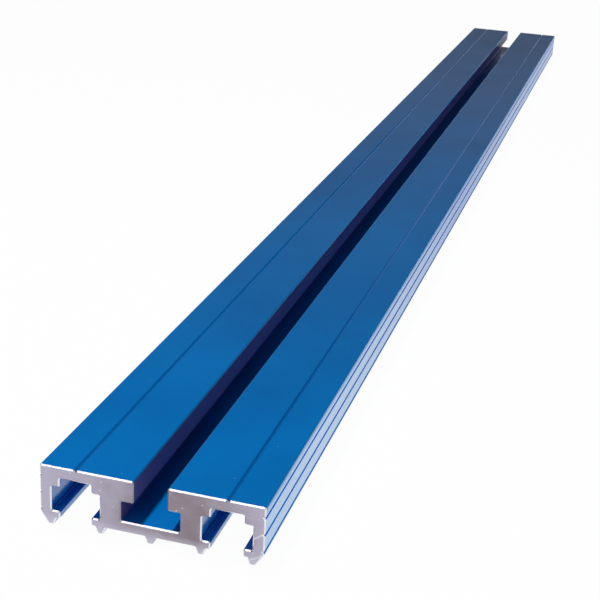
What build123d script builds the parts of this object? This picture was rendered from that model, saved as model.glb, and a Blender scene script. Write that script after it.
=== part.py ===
from build123d import *
import os

# One cut length of an extruded aluminium T-slot profile, lying on its ribs as it would on a bench.
# X runs across the section, Y along the length and Z up. The origin is under the middle of the
# profile, on the plane of the rib tips. Lengths are in millimetres.

# Length of the bar, and height of its body above the ribs
length = 609.6
body_height = 12.7

# T-slot in the top face
top_slot_mouth = 7.6
top_slot_width = 13.4
top_lip_thickness = 5.4
slot_floor_thickness = 2.65

# Pair of T-slots in the underside, each with a recess in its roof for the end of a bolt
bottom_slot_mouth = 7.2
bottom_slot_width = 11.2
bottom_lip_thickness = 1.9
bolt_recess_width = 7.4
bolt_recess_depth = 2.15
top_flange_thickness = 2.8

# Walls between the slots, and the outer legs, which taper to the ribs under them
web_thickness = 4.85
leg_thickness = 2.65
leg_taper_height = 1.3

# Ribs that the profile stands on: one in the middle, and one either side of each bottom slot,
# a narrow land away from its mouth
rib_height = 1.6
rib_root_width = 2.4
rib_tip_width = 1.2
rib_land = 0.95

# Drill lines in the top face, one over the middle of each bottom slot
drill_line_width = 0.9
drill_line_depth = 0.2

# Fine grooves along each side, spread evenly between two margins
side_groove_count = 3
side_groove_width = 0.6
side_groove_depth = 0.3
side_groove_top_margin = 2.5
side_groove_foot_margin = 0.7

# Rounded edges and corners of the die, and the broken edges of the sawn ends
edge_radius = 0.5
shoulder_radius = 0.4
corner_radius = 0.4
rib_root_radius = 0.25
rib_tip_radius = 0.35
end_chamfer = 0.3

# Places across the section
half_width = top_slot_width / 2 + web_thickness + bottom_slot_width + leg_thickness
slot_inner_wall = top_slot_width / 2 + web_thickness
slot_outer_wall = slot_inner_wall + bottom_slot_width
slot_middle = (slot_inner_wall + slot_outer_wall) / 2
mouth_inner_edge = slot_middle - bottom_slot_mouth / 2
mouth_outer_edge = slot_middle + bottom_slot_mouth / 2
recess_inner_wall = slot_middle - bolt_recess_width / 2
recess_outer_wall = slot_middle + bolt_recess_width / 2
inner_rib_root = mouth_inner_edge - rib_land
outer_rib_root = mouth_outer_edge + rib_land
inner_rib = inner_rib_root - rib_root_width / 2
outer_rib = outer_rib_root + rib_root_width / 2

# Levels of the section above the rib tips
base_level = rib_height
top_level = base_level + body_height
slot_floor_level = base_level + slot_floor_thickness
top_lip_level = top_level - top_lip_thickness
bottom_lip_level = base_level + bottom_lip_thickness
recess_roof_level = top_level - top_flange_thickness
ledge_level = recess_roof_level - bolt_recess_depth
foot_level = base_level + leg_taper_height


def rectangle_between(left, right, low, high):
    """A rectangle of the section, given by its four sides."""
    middle = Pos((left + right) / 2, (low + high) / 2)
    return middle * Rectangle(right - left, high - low)


def both_sides(shape):
    """A shape of the section together with its mirror image."""
    return shape + mirror(shape, about=Plane.YZ)


def round_corners(section, corners, radius):
    """The section with these corners rounded, and their mirror images too."""
    places = [(side * across, level) for across, level in corners for side in (1, -1)]
    chosen = [section.vertices().sort_by_distance(place)[0] for place in places]
    return fillet(ShapeList(chosen), radius)


def body_outline():
    """The body on its base plane, each outer leg tapering in to the tip of the rib under it."""
    half = Polyline(
        (0, base_level),
        (outer_rib, base_level),
        (outer_rib + rib_tip_width / 2, 0),
        (half_width, foot_level),
        (half_width, top_level),
        (0, top_level),
        close=True,
    )
    return both_sides(make_face(half))


def top_slot():
    """The T-slot that opens upwards along the middle."""
    neck = rectangle_between(-top_slot_mouth / 2, top_slot_mouth / 2, slot_floor_level, top_level)
    cavity = rectangle_between(-top_slot_width / 2, top_slot_width / 2, slot_floor_level, top_lip_level)
    return neck + cavity


def bottom_slot():
    """A T-slot that opens downwards, with the bolt recess in its roof."""
    mouth = rectangle_between(mouth_inner_edge, mouth_outer_edge, base_level, bottom_lip_level)
    cavity = rectangle_between(slot_inner_wall, slot_outer_wall, bottom_lip_level, ledge_level)
    recess = rectangle_between(recess_inner_wall, recess_outer_wall, ledge_level, recess_roof_level)
    return mouth + cavity + recess


def rib():
    """A rib that tapers down from the base plane to a blunt tip."""
    half_root = rib_root_width / 2
    half_tip = rib_tip_width / 2
    outline = Polyline(
        (-half_root, base_level), (-half_tip, 0), (half_tip, 0), (half_root, base_level), close=True
    )
    return make_face(outline)


def vee(mouth_width, depth):
    """A V-groove that goes down from its own origin, with its mouth centred there."""
    half_mouth = mouth_width / 2
    return make_face(Polyline((-half_mouth, 0), (0, -depth), (half_mouth, 0), close=True))


def drill_line():
    """The V-groove in the top face over a bottom slot."""
    return Pos(slot_middle, top_level) * vee(drill_line_width, drill_line_depth)


def side_grooves():
    """The row of V-grooves down one side."""
    groove = Rot(0, 0, -90) * vee(side_groove_width, side_groove_depth)
    highest = top_level - side_groove_top_margin
    lowest = foot_level + side_groove_foot_margin
    pitch = (highest - lowest) / (side_groove_count - 1)
    return [Pos(half_width, highest - step * pitch) * groove for step in range(side_groove_count)]


def outer_edges():
    """Corners where the metal stands out: the lips and the ledges of the slots."""
    return [
        (top_slot_mouth / 2, top_level),
        (top_slot_mouth / 2, top_lip_level),
        (mouth_inner_edge, base_level),
        (mouth_inner_edge, bottom_lip_level),
        (mouth_outer_edge, base_level),
        (mouth_outer_edge, bottom_lip_level),
        (recess_inner_wall, ledge_level),
        (recess_outer_wall, ledge_level),
    ]


def inner_corners():
    """Corners inside the slots."""
    return [
        (top_slot_width / 2, slot_floor_level),
        (top_slot_width / 2, top_lip_level),
        (slot_inner_wall, bottom_lip_level),
        (slot_inner_wall, ledge_level),
        (slot_outer_wall, bottom_lip_level),
        (slot_outer_wall, ledge_level),
        (recess_inner_wall, recess_roof_level),
        (recess_outer_wall, recess_roof_level),
    ]


def rib_tips():
    """Corners of the ribs' tips."""
    half_tip = rib_tip_width / 2
    return [(half_tip, 0)] + [
        (place + side, 0) for place in (inner_rib, outer_rib) for side in (-half_tip, half_tip)
    ]


def rib_roots():
    """Corners where a rib runs out into the base plane."""
    return [
        (rib_root_width / 2, base_level),
        (inner_rib - rib_root_width / 2, base_level),
        (inner_rib_root, base_level),
        (outer_rib_root, base_level),
    ]


def section():
    """The cross-section: the body, less its slots and grooves, on its ribs."""
    profile = body_outline() - top_slot() - both_sides(bottom_slot())
    for place in (0, inner_rib, outer_rib, -inner_rib, -outer_rib):
        profile += Pos(place, 0) * rib()
    profile = round_corners(profile, outer_edges(), edge_radius)
    profile = round_corners(profile, [(half_width, top_level)], shoulder_radius)
    profile = round_corners(profile, inner_corners(), corner_radius)
    profile = round_corners(profile, rib_tips(), rib_tip_radius)
    profile = round_corners(profile, rib_roots(), rib_root_radius)
    for groove in [drill_line()] + side_grooves():
        profile -= both_sides(groove)
    return profile


def extruded_profile():
    """The section drawn out along Y and sawn square, with the sawn edges broken."""
    bar = extrude(Plane.XZ * section(), length / 2, both=True)
    sawn_ends = bar.faces().filter_by(Axis.Y)
    return chamfer(sawn_ends.edges(), end_chamfer)


os.makedirs("parts", exist_ok=True)
export_step(extruded_profile(), "parts/extruded_profile.step")
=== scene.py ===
# %% [markdown]
# # An extruded aluminium T-slot profile
# This lesson finishes one piece of raw stock: a flat bar of aluminium that was pressed through a die,
# dyed blue in an anodising bath and then sawn to length. The exact shape comes from the CAD model, so the
# work here is about surfaces: a satin dyed skin, two bare sawn ends, and the bright broken edges between
# them. The lights and the camera at the end show whether those surfaces behave like metal.

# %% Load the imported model
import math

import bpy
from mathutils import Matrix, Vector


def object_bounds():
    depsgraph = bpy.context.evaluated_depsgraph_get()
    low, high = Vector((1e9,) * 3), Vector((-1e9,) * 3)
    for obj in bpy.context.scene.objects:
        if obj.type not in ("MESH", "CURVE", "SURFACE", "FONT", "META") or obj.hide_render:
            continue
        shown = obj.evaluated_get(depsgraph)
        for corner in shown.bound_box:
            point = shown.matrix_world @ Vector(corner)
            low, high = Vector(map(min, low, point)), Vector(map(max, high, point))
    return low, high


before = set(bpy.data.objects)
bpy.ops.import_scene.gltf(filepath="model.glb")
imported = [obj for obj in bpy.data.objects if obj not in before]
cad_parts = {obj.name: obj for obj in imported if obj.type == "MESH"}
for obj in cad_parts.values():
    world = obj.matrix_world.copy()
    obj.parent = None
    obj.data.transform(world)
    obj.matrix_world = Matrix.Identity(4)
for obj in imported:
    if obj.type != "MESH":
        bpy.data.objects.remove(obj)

# %% [markdown]
# ## Measure first
# Everything in the scene is in metres, in the frame of the CAD model: X across the bar, Y along it and Z
# up. The box is kept now, before anything is added.

cad_low, cad_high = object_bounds()
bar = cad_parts["extruded_profile"]
bar_size = cad_high - cad_low
print("bar is", [round(1000 * side, 2) for side in bar_size], "mm,", len(bar.data.polygons), "faces")


# %% [markdown]
# ## Small helpers for shader trees
# A shader tree is a list of nodes and a list of links. Writing each one out takes many lines, so a few
# helpers keep the recipes readable: one places a node and fills its sockets, others do sums with masks, and
# others make an empty node group or an empty material. A socket is filled with a number or a colour, or
# linked to another socket.

# %% Node helpers
def place(tree, kind, sockets=None, **settings):
    """Adds a node to a tree. Each socket takes a value, or another node's output to link to."""
    node = tree.nodes.new(kind)
    for name, value in settings.items():
        setattr(node, name, value)
    for name, value in (sockets or {}).items():
        if isinstance(value, bpy.types.NodeSocket):
            tree.links.new(value, node.inputs[name])
        else:
            node.inputs[name].default_value = value
    return node


def maths(tree, operation, *values):
    """A maths node's result."""
    return place(tree, "ShaderNodeMath", dict(enumerate(values)), operation=operation).outputs[0]


def vector_maths(tree, operation, *values):
    """A vector maths node's result: the length for LENGTH, a vector otherwise."""
    node = place(tree, "ShaderNodeVectorMath", dict(enumerate(values)), operation=operation)
    return node.outputs["Value" if operation == "LENGTH" else "Vector"]


def ramp_between(tree, value, start, end):
    """Runs from 0 to 1 as a value goes from start to end, and stays there."""
    sockets = {"Value": value, "From Min": start, "From Max": end}
    return place(tree, "ShaderNodeMapRange", sockets).outputs["Result"]


def both(tree, first, second):
    """Where one mask and another hold together."""
    return maths(tree, "MULTIPLY", first, second)


def opposite(tree, mask):
    """Where a mask doesn't hold."""
    return maths(tree, "SUBTRACT", 1.0, mask)


def raised(tree, base, mask, more):
    """A base value, with some more where a mask holds."""
    return maths(tree, "ADD", base, maths(tree, "MULTIPLY", mask, more))


def distance_to(tree, value, places):
    """How far a value is from the nearest of some places."""
    nearest = 1.0
    for there in places:
        gap = maths(tree, "ABSOLUTE", maths(tree, "SUBTRACT", value, there))
        nearest = maths(tree, "MINIMUM", nearest, gap)
    return nearest


def blend_colours(tree, factor, first, second):
    """A colour between two others. Each is an RGB triple or a socket."""
    first, second = [c if isinstance(c, bpy.types.NodeSocket) else (*c, 1.0) for c in (first, second)]
    sockets = {"Factor": factor, 6: first, 7: second}
    return place(tree, "ShaderNodeMix", sockets, data_type="RGBA").outputs[2]


def new_group(name, inputs, outputs):
    """An empty shader node group, with its input and output sockets."""
    group = bpy.data.node_groups.new(name, "ShaderNodeTree")
    for label, default in inputs.items():
        kind = "NodeSocketVector" if isinstance(default, tuple) else "NodeSocketFloat"
        group.interface.new_socket(label, in_out="INPUT", socket_type=kind).default_value = default
    for label in outputs:
        group.interface.new_socket(label, in_out="OUTPUT", socket_type="NodeSocketFloat")
    return group, group.nodes.new("NodeGroupInput").outputs, group.nodes.new("NodeGroupOutput").inputs


def use_group(tree, group, **values):
    """Places a node group in a material, with this material's own values."""
    sockets = {label.replace("_", " "): value for label, value in values.items()}
    return place(tree, "ShaderNodeGroup", sockets, node_tree=group).outputs


def new_material(name):
    """A material with only a Principled shader and its output, and the place on the object in metres."""
    material = bpy.data.materials.new(name)
    material.use_nodes = True
    tree = material.node_tree
    spot = place(tree, "ShaderNodeTexCoord").outputs["Object"]
    return material, tree, tree.nodes["Principled BSDF"], spot


print("helpers ready")


# %% [markdown]
# ## Cloudiness that every finish shares
# No metal surface is one even colour. Dye takes a little unevenly, and a sawn face is mottled where the
# blade dragged. A noise texture in the object's own coordinates gives this without any unwrapping, and
# as a group it can serve each finish with its own size of cloud.

# %% Cloud group
cloud_group, given, wanted = new_group(
    "Cloud", {"Spot": (0.0, 0.0, 0.0), "Clouds per metre": 20.0, "Detail": 3.0}, ["Cloud"])
noise = place(cloud_group, "ShaderNodeTexNoise",
              {"Vector": given["Spot"], "Scale": given["Clouds per metre"], "Detail": given["Detail"]})
thin_cloud, full_cloud = 0.3, 0.7
puffs = ramp_between(cloud_group, noise.outputs["Fac"], thin_cloud, full_cloud)
cloud_group.links.new(puffs, wanted["Cloud"])
print("made group", cloud_group.name)


# %% [markdown]
# ## Specks and scratches that two finishes share
# Handling leaves tiny marks: dust, chips from the saw, pinpricks in the dye. A Voronoi texture scatters
# points through space, and a surface shows one only where it passes close by, so the marks come out few
# and unevenly spread. A random number for each point leaves most of them out. Fed with coordinates that
# are squeezed in one direction, the same group draws long thin scratches in place of round specks.

# %% Mark group
mark_group, given, wanted = new_group(
    "Marks", {"Spot": (0.0, 0.0, 0.0), "Marks per metre": 300.0, "Radius": 0.2, "Share": 0.1}, ["Mark"])
points = place(mark_group, "ShaderNodeTexVoronoi",
               {"Vector": given["Spot"], "Scale": given["Marks per metre"]})
half_radius = maths(mark_group, "MULTIPLY", given["Radius"], 0.5)
near_point = ramp_between(mark_group, points.outputs["Distance"], given["Radius"], half_radius)
draw = place(mark_group, "ShaderNodeSeparateColor", {"Color": points.outputs["Color"]}).outputs[0]
kept_point = maths(mark_group, "LESS_THAN", draw, given["Share"])
mark_group.links.new(maths(mark_group, "MULTIPLY", near_point, kept_point), wanted["Mark"])
print("made group", mark_group.name)


# %% [markdown]
# ## Find the fine lines
# The die cut three fine grooves into each side and a drill line into each half of the top, where a drill
# point can start over the slot below. They are in the CAD model, and the skin will differ in them, so their
# places are read from its points: a groove's bottom lies a little inside the side, and a drill line's
# bottom a little under the top. Measured places stay right when a size of the model changes.

# %% Find the grooves and the drill lines
half_width, half_length = bar_size.x / 2, bar_size.y / 2
end_bevel, groove_depths, drill_depths = 0.0002, (0.0002, 0.00035), (0.00015, 0.00025)
shoulder, slot_room = 0.0018, 0.01
die_points = [point.co for point in bar.data.vertices if abs(point.co.y) < half_length - end_bevel]
groove_levels = sorted({
    round(point.z, 4) for point in die_points
    if groove_depths[0] < half_width - abs(point.x) < groove_depths[1] and point.z < cad_high.z - shoulder})
drill_lines = sorted({
    round(abs(point.x), 5) for point in die_points
    if drill_depths[0] < cad_high.z - point.z < drill_depths[1]
    and slot_room < abs(point.x) < half_width - shoulder})
print("grooves at", [round(1000 * level, 2) for level in groove_levels], "mm up")
print("drill lines at", [round(1000 * place_x, 2) for place_x in drill_lines], "mm from the middle")


# %% [markdown]
# ## Where the skin differs
# One material covers everything that came out of the die, and masks tell it where it is. A mask is a number
# from 0 to 1 that nodes work out from the surface's own place and normal, so it holds from every side and
# needs no painting. The first ones find the outside of the bar, and the walls and rims of the top slot.

# %% Masks for the top slot
anodised, tree, skin, spot = new_material("anodised_blue")
facing = place(tree, "ShaderNodeTexCoord").outputs["Normal"]
sideways = maths(tree, "ABSOLUTE", place(tree, "ShaderNodeSeparateXYZ", {0: facing}).outputs["X"])
spot_x, spot_y, spot_z = place(tree, "ShaderNodeSeparateXYZ", {0: spot}).outputs
off_middle = maths(tree, "ABSOLUTE", spot_x)
side_depth, top_depth, slot_reach = 0.0009, 0.0004, 0.0075
outside = maths(tree, "GREATER_THAN", off_middle, half_width - side_depth)
below_top = maths(tree, "LESS_THAN", spot_z, cad_high.z - top_depth)
inside = both(tree, below_top, opposite(tree, outside))
in_top_slot = maths(tree, "LESS_THAN", off_middle, slot_reach)
upright, tilted, flat_upright = (0.6, 0.95), (0.1, 0.4), (0.8, 0.95)
slot_wall = both(tree, ramp_between(tree, sideways, *upright), both(tree, inside, in_top_slot))
slot_edge = both(tree, ramp_between(tree, sideways, *tilted), in_top_slot)
print("made masks for the top slot, within", 1000 * slot_reach, "mm of the middle")


# %% [markdown]
# ## Masks for the fine lines and the sides
# The measured places become masks here: a spot is in a groove or a drill line when it is close enough to the
# line's middle. What the grooves leave of each side are flat bands, and the rounded outer corners lie above
# them. The bands and the corners are known by how far their normal leans to the side.

# %% Masks for grooves, drill lines, bands and corners
groove_rim, groove_wall = 0.0005, 0.00038
to_groove = distance_to(tree, spot_z, groove_levels)
groove = both(tree, ramp_between(tree, to_groove, groove_rim, groove_wall), outside)
drill_rim, drill_wall = 0.00055, 0.00042
to_drill = distance_to(tree, off_middle, drill_lines)
drill = both(tree, ramp_between(tree, to_drill, drill_rim, drill_wall), opposite(tree, below_top))
flat_side = both(tree, ramp_between(tree, sideways, *flat_upright), outside)
band = both(tree, flat_side, opposite(tree, groove))
corner_low, corner_high = 0.0017, 0.0004
near_corner = both(tree, outside, ramp_between(tree, sideways, *tilted))
to_corner = ramp_between(tree, spot_z, cad_high.z - corner_low, cad_high.z - corner_high)
corner = both(tree, near_corner, to_corner)
print("made masks for", len(groove_levels), "grooves and", len(drill_lines), "drill line a side")


# %% [markdown]
# ## Painted light along the bar
# The side bands are painted paler towards the near end of the bar, as a painted glow, and there the drill
# lines are painted darker, as painted shade. Away from that end the drill lines are painted lighter, the
# left one only farther back, and so is the left rim of the top slot: painted highlights. A ramp over Y gives
# each fade. It is multiplied with the masks from before, so each keeps to its own place.

# %% Painted glow, shade and highlights
glow_start, glow_full = -0.06, -0.26
# 1 at the near end: there the side bands get a painted glow and the drill lines painted shade
near_end_painted_light = ramp_between(tree, spot_y, glow_start, glow_full)
beyond_near_end = opposite(tree, near_end_painted_light)
left_half = maths(tree, "LESS_THAN", spot_x, 0.0)
left_rim = both(tree, slot_edge, left_half)
# Painted highlight on the left rim of the top slot, away from the near end
painted_rim_highlight = both(tree, both(tree, left_rim, opposite(tree, below_top)), beyond_near_end)
# Painted highlight on the drill lines: the right one away from the near end, the left one farther back
highlight_start, highlight_full = 0.0, 0.12
farther_back = ramp_between(tree, spot_y, highlight_start, highlight_full)
drill_highlight_reach = maths(tree, "MAXIMUM", opposite(tree, left_half), farther_back)
painted_drill_highlight = both(tree, drill, both(tree, drill_highlight_reach, beyond_near_end))
# Painted shade in the drill lines at the near end
painted_drill_shade = both(tree, drill, near_end_painted_light)
print("bloom from", glow_start, "to", glow_full, "m, wear from", highlight_start, "to", highlight_full, "m")


# %% [markdown]
# ## The dyed skin
# Anodising grows a thin clear oxide on the metal and fills it with dye. Light goes through the dye, meets
# the metal and comes back blue, so the colour sits in the reflection: a metallic shader with a blue base
# does that. In the top slot the upright walls are painted deeper and more violet, as painted shade in the
# recess, and the outer corners keep the deep colour of the top and fade into the sides. The flat side bands
# and the grooves are painted a lighter blue, as painted light on the sides. Each mask blends its own colour
# over the ones before it, so the finest marks come last.

# %% Dye
dye_deep, dye_light = (0.0, 0.212, 0.585), (0.0, 0.262, 0.685)
slot_shade_dye, side_light_dye = (0.24, 0.20, 0.47), (0.0, 0.25, 0.82)
near_end_glow_dye, pinprick_dye = (0.30, 0.60, 0.95), (0.2, 0.42, 0.68)
corner_dye, corner_share, least_groove = (0.0, 0.30, 0.74), 0.85, 0.4
rim_highlight_dye, drill_shade_dye = (0.03, 0.42, 0.95), (0.0, 0.18, 0.53)
groove_light_dye, drill_highlight_dye = (0.06, 0.38, 1.0), (0.11, 0.32, 0.70)
cloud = use_group(tree, cloud_group, Spot=spot, Clouds_per_metre=28.0, Detail=4.0)["Cloud"]
pinprick = use_group(tree, mark_group, Spot=spot, Marks_per_metre=260.0, Radius=0.05, Share=0.2)["Mark"]
dye = blend_colours(tree, cloud, dye_deep, dye_light)
# Painted shade: the upright walls of the top slot are darkened to a deeper violet
dye = blend_colours(tree, slot_wall, dye, slot_shade_dye)
# Painted highlight: the left rim of the top slot is lightened
dye = blend_colours(tree, painted_rim_highlight, dye, rim_highlight_dye)
# Painted light: the flat side bands take a lighter blue
dye = blend_colours(tree, band, dye, side_light_dye)
# Painted glow: the side bands turn pale towards the near end
dye = blend_colours(tree, both(tree, band, near_end_painted_light), dye, near_end_glow_dye)
dye = blend_colours(tree, maths(tree, "MULTIPLY", corner, corner_share), dye, corner_dye)
# Painted light in the grooves: a brighter blue, strongest at the near end
dye = blend_colours(tree, both(tree, groove, maths(tree, "MAXIMUM", near_end_painted_light, least_groove)), dye, groove_light_dye)
# Painted highlight: the drill lines are lightened
dye = blend_colours(tree, painted_drill_highlight, dye, drill_highlight_dye)
# Painted shade: the drill lines are darkened at the near end
dye = blend_colours(tree, painted_drill_shade, dye, drill_shade_dye)
tree.links.new(blend_colours(tree, pinprick, dye, pinprick_dye), skin.inputs["Base Color"])
skin.inputs["Metallic"].default_value = 1.0
print("dye from", dye_deep, "to", dye_light)


# %% [markdown]
# ## The clear oxide over the dye
# The clear top of the oxide reflects as well, without colour, most of all at a low angle, and a coat does
# that. It is thinner on sharp edges and in narrow grooves. The etched metal below is satin, and the die has
# left faint lines along the bar: a noise that is stretched out along Y roughens and lifts the surface a
# little.

# %% Oxide and satin
# Some losses dim the reflection as painted shade: the coat is thinned on the slot walls and on the side
# bands away from the near end
band_beyond_near_end = both(tree, band, beyond_near_end)
oxide = 1.0
losses = [(slot_edge, 0.45), (slot_wall, 0.64), (groove, 0.85), (drill, 0.6), (painted_drill_shade, 0.75),
          (band_beyond_near_end, 0.3), (corner, 0.6), (both(tree, corner, left_half), 0.7)]
for thinner, loss in losses:
    oxide = both(tree, oxide, opposite(tree, maths(tree, "MULTIPLY", thinner, loss)))
tree.links.new(oxide, skin.inputs["Coat Weight"])
lines_per_metre, satin, satin_more = (5000.0, 8.0, 5000.0), 0.64, 0.12
drawn_out = vector_maths(tree, "MULTIPLY", spot, lines_per_metre)
streaks = place(tree, "ShaderNodeTexNoise", {"Vector": drawn_out, "Scale": 1.0, "Detail": 2.0})
die_lines = streaks.outputs["Fac"]
tree.links.new(raised(tree, satin, die_lines, satin_more), skin.inputs["Roughness"])
lines_bump = place(tree, "ShaderNodeBump", {"Height": die_lines, "Strength": 0.05, "Distance": 0.0001})
tree.links.new(lines_bump.outputs["Normal"], skin.inputs["Normal"])
skin.inputs["Coat Roughness"].default_value = 0.15
skin.inputs["Coat IOR"].default_value = 1.7
print("made material", anodised.name)


# %% [markdown]
# ## The sawn ends
# The bar was dyed before it was cut, so its ends are bare. A circular saw leaves arcs of one large
# radius across the section: the distance from the blade's axis drives a one-dimensional noise, which draws
# them later as a bump. The middle of the cut is darker and warmer, as dried cutting oil would make it, which
# is a soft round mask, ragged with some cloud. The legs are paler, and the feet are painted lighter still,
# as painted bounce light from the white table.

# %% Saw arcs and stains
def radius_from(tree, spot, centre):
    """How far a place is from a centre."""
    return vector_maths(tree, "LENGTH", vector_maths(tree, "SUBTRACT", spot, centre))


sawn, tree, cut, spot = new_material("sawn_aluminium")
flattened, blade_axis, arcs_per_metre = (1.0, 0.0, 1.0), (0.03, 0.0, 0.16), 3000.0
across = vector_maths(tree, "MULTIPLY", spot, flattened)
from_axis = radius_from(tree, across, blade_axis)
arcs = place(tree, "ShaderNodeTexNoise", {"W": from_axis, "Scale": arcs_per_metre, "Detail": 2.0},
             noise_dimensions="1D").outputs["Fac"]
mottle = use_group(tree, cloud_group, Spot=spot, Clouds_per_metre=250.0, Detail=5.0)["Cloud"]
oil_middle, oil_edge, oil_full, raggedness = (0.007, 0.0, 0.0085), 0.021, 0.004, 0.006
uneven = maths(tree, "MULTIPLY", maths(tree, "SUBTRACT", mottle, 0.5), raggedness)
from_oil = maths(tree, "ADD", radius_from(tree, across, oil_middle), uneven)
oil = ramp_between(tree, from_oil, oil_edge, oil_full)
axes = place(tree, "ShaderNodeSeparateXYZ", {0: spot}).outputs
foot_top, foot_full, leg_start, leg_full, leg_share = 0.0034, 0.0008, 0.019, 0.024, 0.3
# Painted bounce light from the table on the feet
painted_foot_bounce = ramp_between(tree, axes["Z"], foot_top, foot_full)
in_leg = ramp_between(tree, maths(tree, "ABSOLUTE", axes["X"]), leg_start, leg_full)
pale = maths(tree, "MAXIMUM", painted_foot_bounce, maths(tree, "MULTIPLY", in_leg, leg_share))
print("oil reaches", round(1000 * oil_edge), "mm, feet are pale up to", 1000 * foot_top, "mm")


# %% [markdown]
# ## Marks in the cut
# Chips and scratches sit on the sawn face, and one leg has two short curved scores, as a blade can leave
# them. The mark group gives the chips as they are, and the scratches from coordinates that are turned and
# then squeezed. The scores have a known place, so they are drawn as thin rings round a centre of their own,
# and a ramp keeps only the part in the leg.

# %% Chips, scratches and scores
chip = use_group(tree, mark_group, Spot=spot, Marks_per_metre=700.0, Radius=0.16, Share=0.25)["Mark"]
scratch_turn, scratch_squeeze, scratch_share = -0.5, (0.08, 1.0, 2.5), 0.5
turned = place(tree, "ShaderNodeVectorRotate",
               {"Vector": across, "Axis": (0.0, 1.0, 0.0), "Angle": scratch_turn}).outputs["Vector"]
squeezed = vector_maths(tree, "MULTIPLY", turned, scratch_squeeze)
scratch = use_group(tree, mark_group, Spot=squeezed, Marks_per_metre=900.0, Radius=0.2, Share=0.12)["Mark"]
score_axis, score_radii, score_leg = (0.009, 0.0, 0.028), (0.0257, 0.0299), (0.0195, 0.0205)
score_edge, score_core, score_share = 0.0003, 0.0001, 0.8
to_score = distance_to(tree, radius_from(tree, across, score_axis), score_radii)
thin_ring = ramp_between(tree, to_score, score_edge, score_core)
score = both(tree, thin_ring, ramp_between(tree, axes["X"], *score_leg))
marked = maths(tree, "MAXIMUM", chip, maths(tree, "MULTIPLY", scratch, scratch_share))
marked = maths(tree, "MAXIMUM", marked, maths(tree, "MULTIPLY", score, score_share))
print("scores:", len(score_radii))


# %% [markdown]
# ## Bare metal
# With the masks ready, the sawn finish is a metallic grey. It is cooler where the metal is clean, and warmer
# and darker under the oil. The saw arcs change the roughness a little and lift the surface as a bump.

# %% Sawn aluminium
clean_grey, oily_grey, mottle_grey = (0.53, 0.50, 0.625), (0.31, 0.255, 0.295), (0.47, 0.42, 0.49)
bounce_and_leg_grey, mark_grey = (0.68, 0.67, 0.79), (0.72, 0.72, 0.80)
mottle_share, bounce_and_leg_share = 0.35, 0.7
grey = blend_colours(tree, oil, clean_grey, oily_grey)
grey = blend_colours(tree, maths(tree, "MULTIPLY", mottle, mottle_share), grey, mottle_grey)
# The feet are lightened as painted bounce light, and the legs are paler
grey = blend_colours(tree, maths(tree, "MULTIPLY", pale, bounce_and_leg_share), grey, bounce_and_leg_grey)
tree.links.new(blend_colours(tree, marked, grey, mark_grey), cut.inputs["Base Color"])
sawn_rough, sawn_more = 0.45, 0.15
tree.links.new(raised(tree, sawn_rough, arcs, sawn_more), cut.inputs["Roughness"])
arcs_bump = place(tree, "ShaderNodeBump", {"Height": arcs, "Strength": 0.15, "Distance": 0.0001})
tree.links.new(arcs_bump.outputs["Normal"], cut.inputs["Normal"])
cut.inputs["Metallic"].default_value = 1.0
print("made material", sawn.name)


# %% [markdown]
# ## The broken edges
# After sawing, a file takes the burr off, and leaves a narrow bright bevel round nearly the whole section.
# The bevel is real geometry in the CAD model. Its finish is smoother and lighter than the sawn face.

# %% Filed edge
filed, tree, bevel, spot = new_material("filed_edge")
cloud = use_group(tree, cloud_group, Spot=spot, Clouds_per_metre=400.0, Detail=2.0)["Cloud"]
filed_grey, filed_bright = (0.78, 0.77, 0.82), (0.90, 0.89, 0.93)
tree.links.new(blend_colours(tree, cloud, filed_grey, filed_bright), bevel.inputs["Base Color"])
filed_rough, filed_more = 0.32, 0.06
tree.links.new(raised(tree, filed_rough, cloud, filed_more), bevel.inputs["Roughness"])
bevel.inputs["Metallic"].default_value = 1.0
print("made material", filed.name)


# %% [markdown]
# ## Which face wears which finish
# The three finishes meet along edges of the solid, so the way that a face looks decides. A face that looks
# straight along the bar was cut by the saw, a face at a slant to it was filed, and all the others came
# out of the die. The filed edges of the top slot that face to the right are given the darker sawn finish,
# as painted shade, so they show no bright line.

# %% Dress the bar
finishes = [anodised, sawn, filed]
bar.data.materials.clear()
for finish in finishes:
    bar.data.materials.append(finish)
straight, slanted, turned_away = 0.99, 0.3, 0.5
for face in bar.data.polygons:
    lengthwise = abs(face.normal.y)
    # Right-facing edges in the top slot get the darker sawn finish as painted shade
    right_facing_in_slot = abs(face.center.x) < slot_reach and face.normal.x > turned_away
    gets_sawn_finish = lengthwise > straight or (lengthwise > slanted and right_facing_in_slot)
    finish = sawn if gets_sawn_finish else filed if lengthwise > slanted else anodised
    face.material_index = finishes.index(finish)
worn = [face.material_index for face in bar.data.polygons]
print({finish.name: worn.count(i) for i, finish in enumerate(finishes)})


# %% [markdown]
# ## A white table
# The bar lies on a plain white table. Light Path lets the table look paper white to the camera and in the
# metal without more light on the bar, while a share of ordinary shading keeps the bar's shadow. Seen
# from below, the table is clear, so that the underside of the bar can be looked at too.

# %% Floor
half_floor = 12.0
corners = [(-half_floor, -half_floor, 0), (half_floor, -half_floor, 0),
           (half_floor, half_floor, 0), (-half_floor, half_floor, 0)]
floor_mesh = bpy.data.meshes.new("floor")
floor_mesh.from_pydata(corners, [], [(0, 1, 2, 3)])
floor = bpy.data.objects.new("floor", floor_mesh)
floor.location.z = cad_low.z
bpy.context.scene.collection.objects.link(floor)

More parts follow.
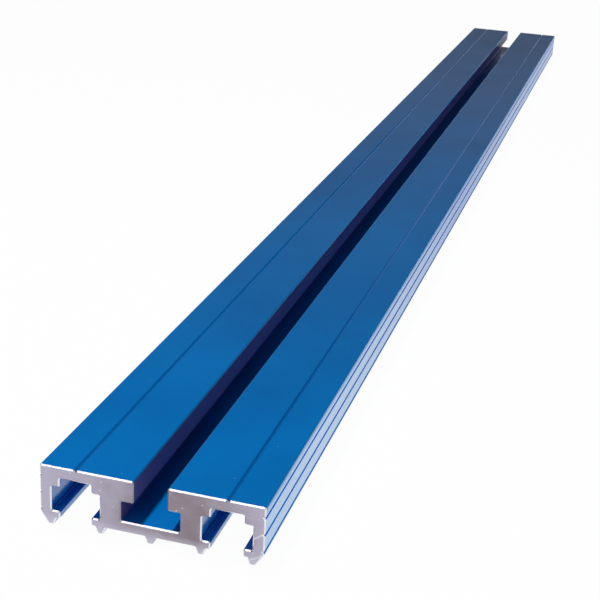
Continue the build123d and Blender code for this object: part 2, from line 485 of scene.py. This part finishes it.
table = bpy.data.materials.new("white_table")
table.use_nodes = True
tree = table.node_tree
tree.nodes.clear()
path = place(tree, "ShaderNodeLightPath").outputs
mirrored = maths(tree, "MAXIMUM", path["Is Glossy Ray"], path["Is Transmission Ray"])
seen = maths(tree, "MAXIMUM", path["Is Camera Ray"], mirrored)
white_share, paper_grey, paper_white = 0.97, (0.85, 0.85, 0.85, 1.0), (1.0, 1.0, 1.0, 1.0)
paper = place(tree, "ShaderNodeBsdfDiffuse", {"Color": paper_grey}).outputs[0]
white = place(tree, "ShaderNodeEmission", {"Color": paper_white, "Strength": 1.0}).outputs[0]
factor = maths(tree, "MULTIPLY", seen, white_share)
top_side = place(tree, "ShaderNodeMixShader", {0: factor, 1: paper, 2: white}).outputs[0]
under = place(tree, "ShaderNodeBsdfTransparent").outputs[0]
behind = place(tree, "ShaderNodeNewGeometry").outputs["Backfacing"]
two_sided = place(tree, "ShaderNodeMixShader", {0: behind, 1: top_side, 2: under}).outputs[0]
place(tree, "ShaderNodeOutputMaterial", {"Surface": two_sided})
floor_mesh.materials.append(table)
print("floor at", round(1000 * floor.location.z, 3), "mm")


# %% [markdown]
# ## A dark room with a pale horizon
# Metal shows its surroundings. A bright room all round would wash the blue out, because the clear oxide
# mirrors it, so the room is dark, and only a band at the horizon is pale, as the edge of the table is.
# A ramp over the height of the looking direction paints the whole room.

# %% World
world = bpy.data.worlds.new("studio")
bpy.context.scene.world = world
world.use_nodes = True
tree = world.node_tree
tree.nodes.clear()
direction = place(tree, "ShaderNodeTexCoord").outputs["Generated"]
height = place(tree, "ShaderNodeSeparateXYZ", {0: direction}).outputs["Z"]
ramp = place(tree, "ShaderNodeValToRGB", {"Fac": height})
room = [(0.0, 0.9), (0.05, 0.7), (0.075, 0.25), (0.1, 0.09), (0.165, 0.05), (0.18, 0.03),
        (0.198, 0.28), (0.215, 0.14), (0.25, 0.11), (0.3, 0.085), (0.35, 0.055), (0.4, 0.025),
        (0.46, 0.0), (0.75, 0.05), (1.0, 0.3)]
cool = 1.12
stops = ramp.color_ramp.elements
while len(stops) < len(room):
    stops.new(0.5)
for stop, (level, brightness) in zip(stops, room):
    stop.position = level
    stop.color = (brightness, brightness, cool * brightness, 1.0)
sky = place(tree, "ShaderNodeBackground", {"Color": ramp.outputs[0], "Strength": 1.0})
place(tree, "ShaderNodeOutputWorld", {"Surface": sky.outputs[0]})
print("room has", len(stops), "bands")


# %% [markdown]
# ## Four soft lamps
# The key is a narrow box over the near end, a little to the left, so that the lip of the slot throws a
# clear shadow on the slot's floor and the blue dims towards the far end. A weak, wide lamp in front stands
# where the filed edges mirror it, a long low strip behind the bar draws pale lines along the rounded
# shoulder and the drill lines, and a last one in front on the right lifts the corners of the cut.

# %% Lamps
def softbox(name, stand, aim, width, height, watts):
    """A rectangular area lamp that looks from one point at another."""
    light = bpy.data.lights.new(name, "AREA")
    light.shape = "RECTANGLE"
    light.size, light.size_y, light.energy = width, height, watts
    lamp = bpy.data.objects.new(name, light)
    lamp.location = stand
    lamp.rotation_euler = (Vector(aim) - Vector(stand)).to_track_quat("-Z", "Y").to_euler()
    lamp.visible_camera = False
    bpy.context.scene.collection.objects.link(lamp)
    return lamp


key = softbox("key", stand=(-0.15, -0.20, 0.70), aim=(0.0, -0.20, 0.0),
              width=0.25, height=0.06, watts=3.58)
glint = softbox("glint", stand=(-0.2, -0.72, 0.62), aim=(0.0, -0.3, 0.0),
                width=0.5, height=0.15, watts=0.85)
strip = softbox("strip", stand=(0.1, 1.1, 0.03), aim=(0.0, 0.0, 0.01),
                width=1.2, height=0.05, watts=0.4)
corner_fill = softbox("corner fill", stand=(0.45, -0.68, 0.34), aim=(0.02, -0.3, 0.005),
                      width=0.25, height=0.25, watts=0.4)
print("lamps:", *[lamp.name for lamp in (key, glint, strip, corner_fill)])


# %% [markdown]
# ## The camera
# The picture looks along the bar from over its near right corner, at a low angle. A plain perspective
# camera with no shift and no depth of field stands there.

# %% Camera
lens = bpy.data.cameras.new("camera")
camera = bpy.data.objects.new("camera", lens)
sensor_mm, focal_mm, nearest_seen = 36.0, 77.923, 0.01
camera_stand, camera_turns = (0.08793, -0.52692, 0.15181), (68.352, -3.104, 15.87)
lens.sensor_width, lens.lens, lens.clip_start = sensor_mm, focal_mm, nearest_seen
camera.location = camera_stand
camera.rotation_euler = [math.radians(turn) for turn in camera_turns]
bpy.context.scene.collection.objects.link(camera)
bpy.context.scene.camera = camera
bpy.context.scene.view_settings.view_transform = "Standard"
print("camera at", [round(1000 * c) for c in camera.location], "mm")
